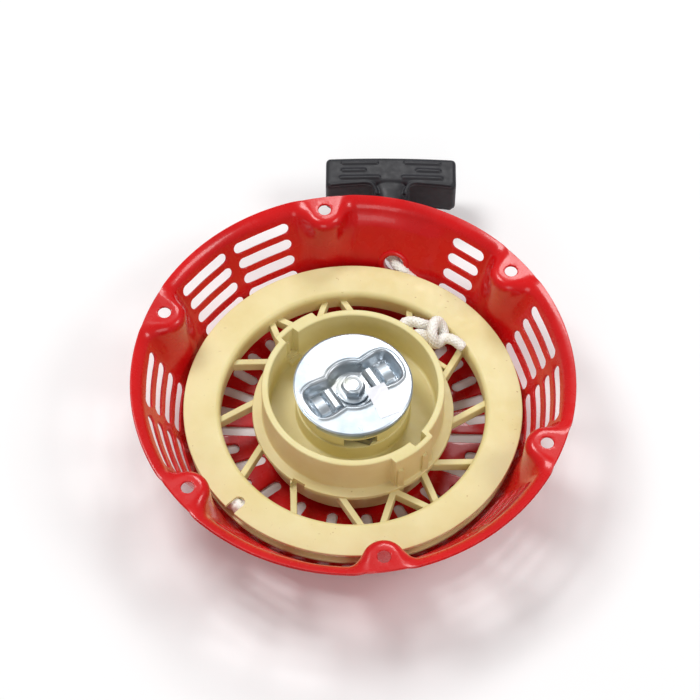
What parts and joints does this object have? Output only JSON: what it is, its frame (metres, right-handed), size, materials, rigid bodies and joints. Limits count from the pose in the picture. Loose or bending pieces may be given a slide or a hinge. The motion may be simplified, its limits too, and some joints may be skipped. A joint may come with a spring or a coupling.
{
  "type": "recoil starter",
  "caption": "Recoil starter: drawn steel housing with air slots, rope reel with mainspring, pawls and guide plate, and a T-grip on a braided rope.",
  "frame": {"origin": "centre of the bolt circle, on the rim's mounting face", "axes": "+Z along the reel's axis towards the engine, +Y the way the rope is pulled, +X to the right seen from the engine side with the grip at the top"},
  "size_m": [0.218, 0.2571, 0.057],
  "materials": {
    "red_paint": "glossy baked paint over drawn steel",
    "reel_plastic": "cream glass-filled nylon, moulded, satin",
    "zinc_plate": "bright zinc plating with faint yellow tinges and stains",
    "steel": "plain turned or pressed steel",
    "spring_steel": "blued spring strip, oiled",
    "pawl_steel": "hardened steel, dark",
    "grip_plastic": "black moulded plastic, satin",
    "rope": "white braided nylon",
    "label": "blank white sticker paper"
  },
  "bodies": {
    "housing": {"housing": "red_paint", "rope_eyelet": "red_paint", "centre_post": "steel", "friction_spring": "steel", "setting_bolt": "zinc_plate", "bolt_washer": "zinc_plate", "rope_lead": "rope"},
    "reel": {"reel": "reel_plastic", "mainspring": "spring_steel", "pawl_spring_a": "steel", "pawl_spring_b": "steel", "rope_coil": "rope", "rope_knot": "rope"},
    "guide_plate": {"guide_plate": "zinc_plate", "inspection_sticker": "label"},
    "pawl_a": {"pawl_a": "pawl_steel"},
    "pawl_b": {"pawl_b": "pawl_steel"},
    "grip": {"grip": "grip_plastic", "grip_insert": "steel", "grip_knot": "rope", "rope_pull": "rope"}
  },
  "joints": [
    {"name": "reel_spin", "type": "hinge", "parent": "housing", "child": "reel", "pos_m": [0, 0, -0.03], "axis": [0, 0, 1], "range_deg": [0, 680], "stiffness_Nm_per_rad": 0.1, "springref_deg": -687.55, "deforming": ["mainspring", "rope_coil", "rope_lead"]},
    {"name": "grip_pull", "type": "slide", "parent": "housing", "child": "grip", "axis": [0, 1, 0], "range_m": [0, 0.905], "deforming": ["rope_pull"]},
    {"name": "guide_turn", "type": "hinge", "parent": "reel", "child": "guide_plate", "pos_m": [0, 0, -0.0132], "axis": [0, 0, 1], "range_deg": [-14, 0], "stiffness_Nm_per_rad": 0.01},
    {"name": "pawl_a_swing", "type": "hinge", "parent": "reel", "child": "pawl_a", "pos_m": [-0.00749, -0.01854, -0.0187], "axis": [0, 0, 1], "range_deg": [-14, 0]},
    {"name": "pawl_b_swing", "type": "hinge", "parent": "reel", "child": "pawl_b", "pos_m": [0.00749, 0.01854, -0.0187], "axis": [0, 0, 1], "range_deg": [-14, 0]}
  ],
  "couplings": [
    {"joint": "grip_pull", "follows": "reel_spin", "m_per_rad": 0.0759},
    {"joint": "pawl_a_swing", "follows": "guide_turn", "ratio": 1},
    {"joint": "pawl_b_swing", "follows": "guide_turn", "ratio": 1}
  ]
}
